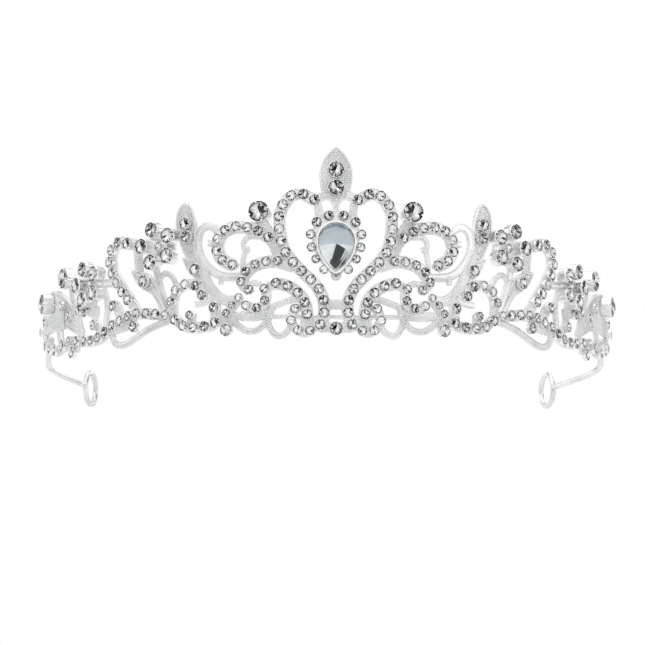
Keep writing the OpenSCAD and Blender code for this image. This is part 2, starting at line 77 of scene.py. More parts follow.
# Strands of one side: width, finish, then points [along the band, height]. A set strand carries
# stones between two grained edges, a grained one is covered with rows of grains, a beaded one has a
# grained edge on each side, and a ridged one is a round rib with cross ridges.
STRANDS = {
    "heart": (3.2, "set", [(5.5, 35), (9, 36.7), (12, 35.7), (14.2, 32.3), (14.4, 28), (13.5, 23.2),
        (11.2, 19.5), (8, 16.2), (5, 13.2), (3.3, 10), (3, 6.5), (4, 3.2)]),
    "heart_bridge": (2.2, "grained", [(5.5, 35.6), (4.6, 33.4), (4.3, 31), (4.9, 29)]),
    "heart_tip": (2.4, "grained", [(2.6, 36.4), (6.2, 35.1)]),
    "heart_tie": (2.6, "grained", [(0, 8.4), (3.5, 8.4)]),
    "heart_foot": (2.8, "grained", [(0, 2.6), (4, 2.6)]),
    "upper_root": (3.2, "grained", [(14.5, 22.5), (18, 26.4)]),
    "upper_run": (3.5, "set", [(17.2, 25.6), (19.8, 27.3), (23.3, 28.5), (27, 28.5), (30, 26.8),
        (31, 23.6), (29.8, 20.6), (26.5, 18.9)]),
    "upper_web": (2.4, "grained", [(19, 30), (17, 26.8), (15.9, 23), (14, 20)]),
    "upper_curl": (1.4, "beaded", [(20, 25.8), (22.4, 26), (23.9, 24.7), (23.7, 22.9), (22.4, 22.6)]),
    "upper_stem": (1.4, "beaded", [(23, 23.6), (24, 20.8), (24.2, 17.5)]),
    "upper_spur": (1.8, "beaded", [(31, 24.6), (33.5, 24.9)]),
    "middle_root": (3.2, "grained", [(11, 18.2), (15.8, 19.7)]),
    "middle_run": (3.3, "set", [(14.8, 19.5), (17.5, 19.5), (20.6, 18.7), (23, 17), (24.3, 14.6),
        (22.2, 12.4)]),
    "middle_ring": (2.7, "set", [(18.2, 12.5), (17.9, 10.6), (18.5, 8.6), (20.4, 7.6), (23, 8.4)]),
    "ring_top": (1.6, "beaded", [(24.4, 12.9), (21, 14.1), (18.2, 13.3), (16, 13.4)]),
    "chain": (2.6, "set", [(24.9, 10.5), (26.6, 8.7), (28.2, 6.6)]),
    "chain_web": (2.2, "grained", [(17, 6.1), (21, 5.5), (25, 5.9), (28, 5.4)]),
    "chain_foot": (3.2, "grained", [(28.2, 6.8), (28.4, 4.6), (28.3, 2.4)]),
    "lower_root": (2.6, "grained", [(17.2, 13.2), (14.4, 14)]),
    "lower_run": (3.2, "set", [(15.2, 13.9), (12.2, 13.1), (9.6, 11.3), (7.9, 8.8), (7.3, 5.8)]),
    "lower_loop": (2.6, "set", [(10.4, 7.3), (11.4, 5), (10.8, 2.8), (8.8, 1.4), (6.6, 1.7)]),
    "lower_leg": (3, "grained", [(7.7, 7.6), (7, 3.1)]),
    "lower_foot": (3.4, "grained", [(9, 3.2), (6, 3.2), (4, 3.2)]),
    "plain_arc": (1.7, "ridged", [(17, 6.8), (16, 8), (13.5, 9), (10.5, 9.8), (8.5, 9.5)]),
    "plain_loop": (1.7, "ridged", [(27.5, 6.2), (25.3, 3.3), (22.7, 1.9), (19.7, 2.4), (17.2, 5.2),
        (16.8, 7)]),
    "plain_drop": (1.7, "ridged", [(17.4, 6.5), (17.2, 3.2), (15.2, 0.6), (12.8, 1.3), (11.2, 3.6)]),
    "c_curve": (2.2, "beaded", [(30.5, 27.4), (33.3, 29.3), (36, 28), (36.6, 24.4), (35.3, 20.8),
        (32.6, 17.8), (29.5, 16.2), (24.6, 15.8)]),
    "branch": (2.8, "grained", [(37.6, 23), (35.3, 18.5), (33.9, 15), (31.6, 11.7), (28.5, 9.9),
        (25.8, 10)]),
    "nib": (1.4, "beaded", [(30.1, 16.4), (30.1, 14.2)]),
    "finger": (1.7, "beaded", [(37.2, 9.4), (35, 9.6), (32, 10.8)]),
    "branch_foot": (3, "grained", [(31.2, 11.4), (31.6, 8.5), (31.4, 4.5)]),
    "rail_root": (3, "grained", [(28, 5.9), (32.6, 4.5)]),
    "rail": (3, "set", [(31.2, 4.3), (34, 3.5), (38, 3.4), (41, 4.3), (43.7, 6.4), (46.5, 7.2),
        (50.5, 7.7), (54, 8.1), (57.2, 7.7), (60, 6.8), (62.6, 6.1), (65.2, 4.9), (67.6, 3.6), (70, 2.8),
        (72.6, 2.5), (75.2, 2.6)]),
    "hook": (2.8, "set", [(34.9, 11.5), (36.2, 13.6), (38.2, 14.6), (40.6, 14.3), (42.7, 13), (43.9, 10.4)]),
    "hook_leg": (2.6, "grained", [(43.8, 11.2), (43.6, 6.2)]),
    "rail_post": (2.6, "grained", [(38.4, 3.6), (38.2, 7)]),
    "rail_web": (2.8, "grained", [(56, 6.4), (60, 5.2), (63.4, 4.9)]),
    "ridged_loop": (1.8, "ridged", [(44.5, 5.8), (48, 4.9), (52, 3.7), (56.5, 1.6), (60.3, 0.4),
        (63.3, 1), (64.6, 3), (64.4, 5)]),
    "arch_root": (3, "grained", [(51.5, 25.4), (55, 25.8), (59.4, 26.9)]),
    "arch_run": (3.3, "set", [(58.4, 26.6), (61.8, 27.1), (64.3, 25), (64.7, 21.8), (63.2, 18.4),
        (60.7, 15), (57.8, 11.8)]),
    "arch_foot": (3, "grained", [(58.4, 12.4), (55, 8.2)]),
    "arch_bar": (2.6, "grained", [(55.6, 26), (54.8, 19)]),
    "beaded_stem": (1.9, "beaded", [(49.4, 22), (49, 18), (47.2, 12.5), (44.6, 7)]),
    "second_stem": (1.5, "beaded", [(50.6, 14), (48.4, 11), (46.2, 7.4)]),
    "plain_curl": (1.5, "ridged", [(48.4, 16.4), (46.3, 17.9), (44.2, 16.8), (43, 14.6), (43.1, 12.8)]),
    "arch_link": (2.2, "beaded", [(62.3, 16.6), (65, 17), (69.5, 17.2)]),
    "outer_stem": (1.7, "beaded", [(69, 17), (66.5, 11.6), (67, 8), (67.4, 3.8)]),
    "ring_link": (3, "grained", [(67.2, 10.8), (63.2, 10.7), (61, 7)]),
    "end_post": (2.6, "grained", [(84, 19), (83.2, 16), (81.8, 12.8), (79.6, 8), (78.2, 3.4)]),
    "end_stem": (2.4, "grained", [(72.6, 15), (72.2, 9.5), (70.4, 6), (69.4, 3)]),
    "end_cross": (2.8, "grained", [(70.5, 10), (74.5, 10.4), (80.2, 11.2)]),
    "end_panel": (5, "grained", [(88, 9.6), (96, 9.8), (103, 9.6), (107.4, 9)]),
    "end_rail": (3, "grained", [(74.4, 2.6), (79, 3), (83.4, 3.3), (87.6, 2.6), (92.6, 1.8), (97, 2.6),
        (101, 4), (104.6, 6.2), (106.6, 9.4), (106.9, 12.6)]),
    "end_strut": (3, "grained", [(92, 9), (91, 5.6), (90, 2.6)]),
    "end_hang": (3.2, "grained", [(80.6, 3.4), (81.4, 0.6)]),
}
CASTINGS = {
    "upper_scroll": ["upper_root", "upper_run", "upper_web", "upper_curl", "upper_stem", "upper_spur"],
    "middle_scroll": ["middle_root", "middle_run", "middle_ring", "ring_top", "chain", "chain_web",
                      "chain_foot"],
    "lower_scroll": ["lower_root", "lower_run", "lower_loop", "lower_leg", "lower_foot"],
    "plain_loops": ["plain_arc", "plain_loop", "plain_drop"],
    "side_branch": ["c_curve", "branch", "nib", "finger", "branch_foot", "small_leaf"],
    "tall_leaf": ["tall"],
    "base_rail": ["rail_root", "rail", "hook", "hook_leg", "rail_post", "rail_web", "ridged_loop"],
    "arch": ["arch_root", "arch_run", "arch_foot", "arch_bar", "beaded_stem", "second_stem", "plain_curl",
             "arch_link", "outer_stem", "ring_link", "arch_leaf"],
    "end_piece": ["end_post", "end_stem", "end_cross", "end_panel", "end_rail", "end_strut", "end_hang",
                  "end_leaf"],
}
# Leaves: (place along the band, height, width) from base to tip
LEAVES = {
    "peak": [(0, 31, 2.4), (0, 33.4, 1.8), (0, 34.7, 3), (0, 36.2, 6.8), (0, 38, 7.8), (0, 42.2, 8.6),
        (0, 45.4, 6.4), (0, 47.4, 3.4), (0, 48.6, 0.8)],
    "tall": [(38.6, 21.6, 2.4), (39.3, 24, 3.8), (40, 28.6, 5.8), (40.4, 32.2, 5.2), (40.2, 34.5, 3.4),
        (40, 35.6, 0.8)],
    "small_leaf": [(34.2, 15.4, 2.2), (36.2, 17.6, 4), (38.4, 19.4, 3.6), (40.8, 21.3, 0.6)],
    "arch_leaf": [(57.2, 19.2, 1.2), (54.8, 17.6, 3.6), (52.4, 16, 4.2), (50.2, 14.2, 3),
        (48.8, 12.8, 1.6)],
    "end_leaf": [(77.8, 5, 1.6), (81, 7.2, 4), (86, 10.6, 6.8), (92, 13.4, 7.8), (98, 15, 6.8),
        (102.4, 15.8, 3)],
}
# Rows of stones: the strand that carries them, how many, and their diameter
ROWS = {
    "heart": [("heart", 15, 2.65)],
    "scroll": [("upper_run", 9, 2.6), ("middle_run", 6, 2.45), ("middle_ring", 4, 2.35), ("chain", 3, 2.1),
               ("lower_run", 5, 2.6), ("lower_loop", 4, 2.4)],
    "rail": [("rail", 16, 2.6), ("hook", 5, 2.5)],
    "arch": [("arch_run", 8, 2.7)],
    "end": [],
}
# Single stones: place along the band, height and diameter
LOOSE = {
    "scroll": [(28.3, 2.3, 3)],
    "rail": [(38.4, 6.6, 2.2), (55.9, 4.8, 2.7), (63.2, 10.7, 2.7),
             (36.9, 18.2, 2.9), (31.6, 8.2, 2.6)],
    "arch": [(52.6, 16.2, 3)],
    "end": [(78.4, 11.1, 2.5), (75.2, 10.1, 2.3), (71.2, 6.5, 2.5), (81.5, 0.3, 2.9), (79.2, 3.1, 2.4),
            (83.3, 3.4, 2.4), (87.4, 2.7, 2.8), (92.6, 1.8, 2.6), (97, 2.6, 2.4), (100.9, 4, 2.4),
            (88.1, 13.2, 2.4), (83.8, 10.2, 2.4), (102.2, 10.6, 2.4), (106.8, 8.4, 2.4), (98.1, 14.8, 5),
            (83.3, 19.9, 5)],
}
BASE_STONE = (0, 2.2, 3.2)
PEAK_STONES = [(0, 42.8, 3.8), (0, 38.2, 3.8)]
TALL_STONES = [(39.9, 30.2, 2.9), (39.5, 26.8, 2.9)]
BIG_STONE = (19.3, 32.1, BIG_D)
HALO_STONES = [(1.9, 30.9, 2.5), (4.9, 29.3, 2.5), (6.4, 26.2, 2.4), (6.2, 22.9, 2.3), (5.1, 19.9, 2.2),
              (3.1, 17.2, 2.2)]
# Flowers: centre, turn of the first petal, radius of the petal circle and petal diameter
FLOWERS = {
    "inner_flower": ((47.6, 24.8), 3, 4.4, 3.7),
    "outer_flower": ((72.6, 17.2), 2, 4.2, 3.7),
}
FLOWER_CENTRE_D = 2.4
# Route of the right end wire, from behind the end casting back to its pin loop
WIRE_ROUTE = [(74.2, -16, 6), (74.4, -13, 4.4), (74.8, -9, 2.3), (75, -3, 1), (74.4, 5, 0.5),
              (72.6, 13, 0.1), (69.9, 21, -0.3), (67.3, 28, -0.7), (65.9, 32, -0.9)]


# ---------------------------------------------------------------- curves and places

def curve(points, pieces=8, closed=False):
    """Smooth line through the points, with so many pieces between two of them."""
    p = [Vector(q) for q in points]
    n = len(p)
    line = []
    for i in range(n if closed else n - 1):
        a, b, c, d = ((p[(i + k) % n] if closed else p[min(max(i + k, 0), n - 1)]) for k in (-1, 0, 1, 2))
        for k in range(pieces):
            t = k / pieces
            line.append((2 * b + (c - a) * t + (2 * a - 5 * b + 4 * c - d) * t ** 2
                         + (3 * b - a - 3 * c + d) * t ** 3) / 2)
    return line if closed else line + [p[-1]]


def spaced(line, count):
    """count places evenly spaced along a line, the first and the last at its ends."""
    runs = [(b - a).length for a, b in zip(line, line[1:])]
    places, i, gone = [], 0, 0
    for k in range(count):
        wanted = sum(runs) * k / (count - 1)
        while i < len(runs) - 1 and gone + runs[i] < wanted:
            gone += runs[i]
            i += 1
        places.append(line[i].lerp(line[i + 1], (wanted - gone) / runs[i]))
    return places


def wrap(p, r=BAND_R):
    """A point of the flat pattern, in metres, on the band at radius r."""
    a = p[0] / PATTERN_R
    return Vector((r * math.sin(a), -r * math.cos(a), p[1])) * MM


def on_band(p, r=BAND_R):
    """Where a flat part lies on the band: its X along the band, its Y up and its Z out."""
    return (Matrix.Rotation(p[0] / PATTERN_R, 4, "Z") @ Matrix.Translation(Vector((0, -r, p[1])) * MM)
            @ Matrix.Rotation(math.pi / 2, 4, "X") @ Matrix.Scale(MM, 4))


def drop(w, h, t):
    """Point of a drop's outline, with its tip down, t of the way round."""
    a = 2 * math.pi * t
    return Vector((w / 2 * 1.12 * math.sin(a) * abs(math.sin(a / 2)) ** 0.55, -h / 2 * math.cos(a)))


def leaf_sides(points, inset=0):
    """The two long edges of a leaf, moved in by inset, as pairs of points of the flat pattern."""
    line = [p for p in curve(points, 6) if p.z / 2 - inset > 0.05]
    pairs = []
    for i, p in enumerate(line):
        along = (line[min(i + 1, len(line) - 1)] - line[max(i - 1, 0)]).to_2d().normalized()
        across = Vector((-along.y, along.x)) * (p.z / 2 - inset)
        pairs.append((p.to_2d() + across, p.to_2d() - across))
    return pairs


# ---------------------------------------------------------------- node trees

def add(tree, kind, inputs=None, **settings):
    """Adds a node with its own settings; inputs gives each socket a value or links it to an output."""
    node = tree.nodes.new(kind)
    for key, value in settings.items():
        setattr(node, key, value)
    for key, value in (inputs or {}).items():
        if isinstance(value, bpy.types.NodeSocket):
            tree.links.new(value, node.inputs[key])
        else:
            node.inputs[key].default_value = value
    return node


def geometry_tree(name, sockets):
    """An empty geometry tree with named inputs, its input sockets and its output node."""
    tree = bpy.data.node_groups.new(name, "GeometryNodeTree")
    for label, kind in {"Geometry": "Geometry", **sockets}.items():
        tree.interface.new_socket(label, in_out="INPUT", socket_type="NodeSocket" + kind)
    tree.interface.new_socket("Geometry", in_out="OUTPUT", socket_type="NodeSocketGeometry")
    return tree, add(tree, "NodeGroupInput").outputs


def end_tree(tree, geometry, material):
    """Ends a tree with real geometry in its finish."""
    real = add(tree, "GeometryNodeRealizeInstances", {"Geometry": geometry})
    finish = add(tree, "GeometryNodeSetMaterial", {"Geometry": real.outputs[0], "Material": material})
    add(tree, "NodeGroupOutput", {"Geometry": finish.outputs[0]})


def facing_out(tree, geometry):
    """The tree's lines as a curve whose normal points out of the band."""
    line = add(tree, "GeometryNodeMeshToCurve", {"Mesh": geometry})
    level = add(tree, "ShaderNodeVectorMath", {0: add(tree, "GeometryNodeInputPosition").outputs[0],
                                               1: (1, 1, 0)}, operation="MULTIPLY")
    return add(tree, "GeometryNodeSetCurveNormal",
               {"Curve": line.outputs[0], "Normal": level.outputs[0]}, mode="FREE").outputs[0]


def make_cast_bar():
    """Bar with rounded edges that follows lines on the band; the lines run along its front face."""
    tree, given = geometry_tree("cast_bar", {"Width": "Float", "Depth": "Float", "Rounding": "Float",
                                             "Material": "Material"})
    section = add(tree, "GeometryNodeCurvePrimitiveQuadrilateral",
                  {"Width": given["Depth"], "Height": given["Width"]})
    rounded = add(tree, "GeometryNodeFilletCurve", {"Curve": section.outputs[0], "Count": 3,
                  "Radius": given["Rounding"], "Limit Radius": True}, mode="POLY")
    back = add(tree, "ShaderNodeMath", {0: given["Depth"], 1: -0.5}, operation="MULTIPLY")
    shift = add(tree, "ShaderNodeCombineXYZ", {"X": back.outputs[0]})
    placed = add(tree, "GeometryNodeTransform", {"Geometry": rounded.outputs[0],
                                                 "Translation": shift.outputs[0]})
    bar = add(tree, "GeometryNodeCurveToMesh", {"Curve": facing_out(tree, given["Geometry"]),
                                                "Profile Curve": placed.outputs[0], "Fill Caps": True})
    end_tree(tree, bar.outputs[0], given["Material"])
    return tree


def make_milled_grains():
    """Rows of grains across lines on the band, the way a milling wheel leaves them."""
    tree, given = geometry_tree("milled_grains", {"Rows": "Int", "Spread": "Float", "Grain": "Float",
                                "Pitch": "Float", "Stretch": "Float", "Material": "Material"})
    places = add(tree, "GeometryNodeCurveToPoints", {"Curve": facing_out(tree, given["Geometry"]),
                                                     "Length": given["Pitch"]}, mode="LENGTH")
    turn = add(tree, "FunctionNodeAxesToRotation", {"Primary Axis": places.outputs["Tangent"],
               "Secondary Axis": places.outputs["Normal"]}, primary_axis="Z", secondary_axis="X")
    gaps = add(tree, "ShaderNodeMath", {0: given["Rows"], 1: 1.0}, operation="SUBTRACT")
    gaps = add(tree, "ShaderNodeMath", {0: gaps.outputs[0], 1: 1.0}, operation="MAXIMUM")
    step = add(tree, "ShaderNodeMath", {0: given["Spread"], 1: gaps.outputs[0]}, operation="DIVIDE")
    first = add(tree, "ShaderNodeMath", {0: given["Spread"], 1: -0.5}, operation="MULTIPLY")
    row = add(tree, "GeometryNodeMeshLine", {"Count": given["Rows"],
              "Start Location": add(tree, "ShaderNodeCombineXYZ", {"Y": first.outputs[0]}).outputs[0],
              "Offset": add(tree, "ShaderNodeCombineXYZ", {"Y": step.outputs[0]}).outputs[0]})
    grain = add(tree, "GeometryNodeMeshIcoSphere", {"Radius": given["Grain"], "Subdivisions": 1})
    length = add(tree, "ShaderNodeCombineXYZ", {"X": 1.0, "Y": given["Stretch"], "Z": 1.0})
    grains = add(tree, "GeometryNodeInstanceOnPoints", {"Points": row.outputs[0],
                 "Instance": grain.outputs[0], "Scale": length.outputs[0]})
    rows = add(tree, "GeometryNodeInstanceOnPoints", {"Points": places.outputs["Points"],
               "Instance": grains.outputs[0], "Rotation": turn.outputs[0]})
    end_tree(tree, rows.outputs[0], given["Material"])
    return tree


def make_setting():
    """Copies of a pattern piece on places that give its size, the way it faces and its turn."""
    tree, given = geometry_tree("setting", {"Pattern": "Object", "Material": "Material",
                                            "Foil": "Material"})
    size, out, turn = (add(tree, "GeometryNodeInputNamedAttribute", {"Name": name},
                           data_type="FLOAT_VECTOR").outputs[0] for name in ("size", "out", "turn"))
    pattern = add(tree, "GeometryNodeObjectInfo", {"Object": given["Pattern"], "As Instance": True})
    facing = add(tree, "FunctionNodeAxesToRotation", {"Primary Axis": out, "Secondary Axis": turn},
                 primary_axis="Z", secondary_axis="X")
    copies = add(tree, "GeometryNodeInstanceOnPoints", {"Points": given["Geometry"], "Scale": size,
                 "Instance": pattern.outputs["Geometry"], "Rotation": facing.outputs[0]})
    real = add(tree, "GeometryNodeRealizeInstances", {"Geometry": copies.outputs[0]})
    # Each face draws a random tone; on the stone foil it picks a painted reflection, dark, grey or bright
    chance = add(tree, "FunctionNodeRandomValue", {"Seed": 3}, data_type="FLOAT")
    real = add(tree, "GeometryNodeStoreNamedAttribute", {"Geometry": real.outputs[0], "Name": "tone",
               "Value": chance.outputs[1]}, data_type="FLOAT", domain="FACE")
    body = add(tree, "GeometryNodeSetMaterial", {"Geometry": real.outputs[0],
                                                 "Material": given["Material"]})
    # Faces marked foil take the second material: behind a stone the foil with its painted reflections, in a
    # cup's seat the painted shadow
    second_finish_faces = add(tree, "GeometryNodeInputNamedAttribute", {"Name": "foil"}, data_type="BOOLEAN")
    foil = add(tree, "GeometryNodeSetMaterial", {"Geometry": body.outputs[0],
               "Selection": second_finish_faces.outputs[0], "Material": given["Foil"]})
    add(tree, "NodeGroupOutput", {"Geometry": foil.outputs[0]})
    return tree


def make_drawn_wire():
    """Round wire along lines."""
    tree, given = geometry_tree("drawn_wire", {"Radius": "Float", "Material": "Material"})
    line = add(tree, "GeometryNodeMeshToCurve", {"Mesh": given["Geometry"]})
    section = add(tree, "GeometryNodeCurvePrimitiveCircle", {"Resolution": 16, "Radius": given["Radius"]})
    wire = add(tree, "GeometryNodeCurveToMesh", {"Curve": line.outputs[0],
               "Profile Curve": section.outputs[0], "Fill Caps": True})
    end_tree(tree, wire.outputs[0], given["Material"])
    return tree


def grown(tree, mesh, **values):
    """The plain mesh that a tree makes from a mesh. Its inputs are set before it is worked out."""
    source = bpy.data.objects.new("source", mesh)
    modifier = source.modifiers.new("tree", "NODES")
    modifier.node_group = tree
    for item in tree.interface.items_tree:
        if item.in_out == "INPUT" and item.name in values:
            modifier[item.identifier] = values[item.name]
    scene.collection.objects.link(source)
    evaluated = source.evaluated_get(bpy.context.evaluated_depsgraph_get())
    result = bpy.data.meshes.new_from_object(evaluated)
    bpy.data.objects.remove(source)
    return result


def line_mesh(lines, closed=False):
    """Loose edges along lines of points in metres."""
    points, edges = [], []
    for line in lines:
        k = len(points)
        points += line
        edges += [(k + i, k + i + 1) for i in range(len(line) - 1)]
        if closed:
            edges.append((k + len(line) - 1, k))
    mesh = bpy.data.meshes.new("lines")
    mesh.from_pydata(points, edges, [])
    return mesh


# ---------------------------------------------------------------- finishes

def linear(hex_colour):
    """An sRGB hex colour as linear RGBA."""
    srgb = [int(hex_colour[i:i + 2], 16) / 255 for i in (1, 3, 5)]
    return [c / 12.92 if c <= 0.04045 else ((c + 0.055) / 1.055) ** 2.4 for c in srgb] + [1]


def finish_tree(name):
    """A new material's tree, its Principled shader and object coordinates."""
    material = bpy.data.materials.new(name)
    material.use_nodes = True
    tree = material.node_tree
    shader = next(n for n in tree.nodes if n.type == "BSDF_PRINCIPLED")
    return material, tree, shader, add(tree, "ShaderNodeTexCoord").outputs["Object"]


def mottled(tree, place, size_mm, low, high, detail=3.0):
    """A ramp from low to high over soft noise whose patches are size_mm wide."""
    noise = add(tree, "ShaderNodeTexNoise", {"Vector": place, "Scale": 1 / (size_mm * MM),
                                             "Detail": detail})
    ramp = add(tree, "ShaderNodeValToRGB", {"Fac": noise.outputs[0]})
    for stop, colour, at in zip(ramp.color_ramp.elements, (low, high), (0.35, 0.65)):
        stop.color, stop.position = colour, at
    return ramp.outputs[0], noise.outputs[0]


def bright_silver(name, colours, roughness, skin_mm, relief_mm):
    """Electroplated silver over a cast or drawn base. The plate gives a near-white metal, and the skin
    below it, grains skin_mm wide and relief_mm high, gives a soft satin glint."""
    material, tree, shader, place = finish_tree(name)
    colour, _ = mottled(tree, place, 6, linear(colours[0]), linear(colours[1]))
    dull, _ = mottled(tree, place, 3, [roughness[0]] * 3 + [1], [roughness[1]] * 3 + [1])
    _, skin = mottled(tree, place, skin_mm, (0, 0, 0, 1), (1, 1, 1, 1), 2.0)
    bump = add(tree, "ShaderNodeBump", {"Height": skin, "Strength": 1.0, "Distance": relief_mm * MM})
    for socket, source in (("Base Color", colour), ("Roughness", dull), ("Normal", bump.outputs[0])):
        tree.links.new(source, shader.inputs[socket])
    shader.inputs["Metallic"].default_value = 1
    return material


def crystal(name, colours):
    """Machine-cut crystal: clear, with sharp flat facets. Its index is set below lead crystal's
    1.56, so that less of the foil's light stays trapped in the stone."""
    material, tree, shader, place = finish_tree(name)
    colour, _ = mottled(tree, place, 4, linear(colours[0]), linear(colours[1]))
    tree.links.new(colour, shader.inputs["Base Color"])
    shader.inputs["Transmission Weight"].default_value = 1
    shader.inputs["IOR"].default_value = CRYSTAL_INDEX
    shader.inputs["Roughness"].default_value = 0
    return material


def mirror_foil(name, tones, roughness):
    """Foil on the back facets. A real facet looks dark or bright by what it mirrors; here its tone, which
    is given or drawn at random, stands for that. tones pairs the start of each step with its colour."""
    material, tree, shader, place = finish_tree(name)
    tone = add(tree, "ShaderNodeAttribute", attribute_name="tone")
    steps = add(tree, "ShaderNodeValToRGB", {"Fac": tone.outputs["Fac"]})
    steps.color_ramp.interpolation = "CONSTANT"
    while len(steps.color_ramp.elements) < len(tones):
        steps.color_ramp.elements.new(0.5)
    for stop, (at, colour) in zip(steps.color_ramp.elements, tones):
        stop.position, stop.color = at, linear(colour)
    uneven, _ = mottled(tree, place, 1.5, linear("#f0f0f0"), linear("#ffffff"))
    mixed = add(tree, "ShaderNodeVectorMath", {0: steps.outputs[0], 1: uneven}, operation="MULTIPLY")
    tree.links.new(mixed.outputs[0], shader.inputs["Base Color"])
    shader.inputs["Metallic"].default_value = 1
    shader.inputs["Roughness"].default_value = roughness
    return material


# Cast alloy, tumbled and silver-plated: satin white metal with a fine cast skin, drawn at 0.25 mm
CAST_SILVER = bright_silver("silver_plated_casting", ("#e0e1e2", "#f2f2f2"), (0.26, 0.38), 0.25, 0.02)
# Stamped setting cups, plated bright: smoother than the castings, so their lips catch thin lights
CUP_SILVER = bright_silver("silver_plated_cup", ("#f0f0f1", "#fbfbfb"), (0.22, 0.32), 0.3, 0.006)
# Drawn brass wire, silver-plated and hand bent: glossy, with slightly uneven skin from the pliers
WIRE_SILVER = bright_silver("silver_plated_wire", ("#dfe0e2", "#f5f5f6"), (0.2, 0.34), 0.5, 0.03)
# Tin-silver solder: duller and greyer than the plate, with a lumpy skin
SOLDER = bright_silver("tin_silver_solder", ("#c6c8cb", "#e2e3e5"), (0.3, 0.45), 0.4, 0.05)
# Round stones: colourless
STONE_CRYSTAL = crystal("colourless_cut_crystal", ("#fbfdfd", "#ffffff"))
# The pear stone: colourless with a faint cool cast in its depth
PEAR_CRYSTAL = crystal("cool_pear_crystal", ("#eef4f6", "#fbfdfd"))
# Silvered foil behind the round stones, with painted reflections: about a quarter of the facets are painted
# dark or grey, the rest bright
STONE_FOIL_PAINTED_REFLECTIONS = mirror_foil("silvered_stone_foil", [(0, "#1b1c1e"), (0.15, "#9a9da0"), (0.28, "#ffffff")], 0.25)
# Foil under the pear stone: a soft, pale blue-grey sheen
PEAR_FOIL = mirror_foil("silvered_pear_foil", [(0, "#dde4e8"), (0.5, "#eef2f4")], 0.4)
# The pear stone's back facets, painted as reflections: charcoal, brown-grey, grey-blue and white, each facet in
# one tone
PEAR_FACETS_PAINTED_REFLECTIONS = mirror_foil("silvered_pear_facets", [(0, "#2a2d31"), (0.25, "#857d77"), (0.5, "#8e9aa2"),
                                                   (0.75, "#ffffff")], 0.3)
# Seat inside a cup: grey, to stand for the shadow round the stone; the real seat is plated like the cup
SEAT_PAINTED_SHADOW = bright_silver("darkened_cup_seat", ("#4a4b4d", "#6c6d70"), (0.4, 0.6), 0.3, 0.006)


# ---------------------------------------------------------------- pattern pieces for the settings

def mesh_of(name, points, faces):
    mesh = bpy.data.meshes.new(name)
    mesh.from_pydata(points, [], faces)
    return mesh


def cut_stone(name, outline, sides, table, crown, pavilion, culet=(0, 0), scale=1.0):
    """A brilliant cut with its girdle at Z 0: a flat table, three crown facets a side, and kite facets
    below that meet at the culet. outline(t) gives the girdle, t of the way round."""
    middle = Vector(culet)
    girdle = [outline(k / (2 * sides)) for k in range(2 * sides)]
    rim = 0.03 * scale
    rings = {"table": [middle.lerp(girdle[2 * k], table).to_3d() + Vector((0, 0, crown + rim))
                       for k in range(sides)],
             "upper": [g.to_3d() + Vector((0, 0, rim)) for g in girdle],
             "lower": [g.to_3d() for g in girdle],
             "belly": [middle.lerp(girdle[2 * k], 0.5).to_3d() - Vector((0, 0, pavilion * 0.56))
                       for k in range(sides)],
             "culet": [middle.to_3d() - Vector((0, 0, pavilion))]}
    start, points = {}, []
    for ring, ring_points in rings.items():
        start[ring] = len(points)
        points += ring_points
    t, u, l, b, c = (start[ring] for ring in ("table", "upper", "lower", "belly", "culet"))
    clear, second_finish_faces = [[t + k for k in range(sides)]], []
    for k in range(sides):
        k2, after, mid, last = 2 * k, (k + 1) % sides, 2 * k + 1, (2 * k + 2) % (2 * sides)
        clear += [[t + k, u + k2, u + mid], [t + k, u + mid, t + after], [t + after, u + mid, u + last],
                  [u + k2, l + k2, l + mid, u + mid], [u + mid, l + mid, l + last, u + last]]
        second_finish_faces += [[l + k2, b + k, l + mid], [l + mid, b + after, l + last], [b + k, c, b + after, l + mid]]
    mesh = mesh_of(name, points, clear + second_finish_faces)
    foil = mesh.attributes.new("foil", "BOOLEAN", "FACE")
    foil.data.foreach_set("value", [i >= len(clear) for i in range(len(clear) + len(second_finish_faces))])
    return mesh


def pattern_piece(mesh):
    return bpy.data.objects.new(mesh.name, mesh)


def circle(t):
    return Vector((0.5 * math.cos(2 * math.pi * t), 0.5 * math.sin(2 * math.pi * t)))


def cup_mesh():
    """A setting cup, 1 wide inside and 1 high, with a rolled lip and a seat under the stone painted dark as its
    shadow.
    """
    sides, profile = 20, [(0.3, 0.2), (0.47, 0.4), (0.5, 0.9), (0.52, 1.0), (0.55, 0.97), (0.557, 0.8),
                          (0.557, 0), (0.3, 0)]
    points, faces = [], []
    for k in range(sides):
        a = 2 * math.pi * k / sides
        points += [(r * math.cos(a), r * math.sin(a), z) for r, z in profile]
    n = len(profile)
    for k in range(sides):
        m = (k + 1) % sides
        faces += [[k * n + i, m * n + i, m * n + i + 1, k * n + i + 1] for i in range(n - 1)]
    faces.append([k * n for k in range(sides)])
    faces.append([k * n + n - 1 for k in range(sides)][::-1])
    mesh = mesh_of("cup_pattern", points, faces)
    # The seat's floor and lower wall are marked as foil faces, so that they take the painted shadow
    painted_shadow_faces = mesh.attributes.new("foil", "BOOLEAN", "FACE")
    painted_shadow_faces.data.foreach_set("value", [i < len(faces) - 2 and i % (n - 1) < 2 or i == len(faces) - 2
                                          for i in range(len(faces))])
    return mesh


def prong_mesh():
    """Four prong tips round a stone 1 wide, at its girdle."""
    bm = bmesh.new()
    for k in range(4):
        a = math.pi / 4 + math.pi / 2 * k
        spot = Matrix.Translation((0.485 * math.cos(a), 0.485 * math.sin(a), 0.03))
        bmesh.ops.create_icosphere(bm, subdivisions=1, radius=0.075, matrix=spot)
    mesh = bpy.data.meshes.new("prong_pattern")
    bm.to_mesh(mesh)
    return mesh


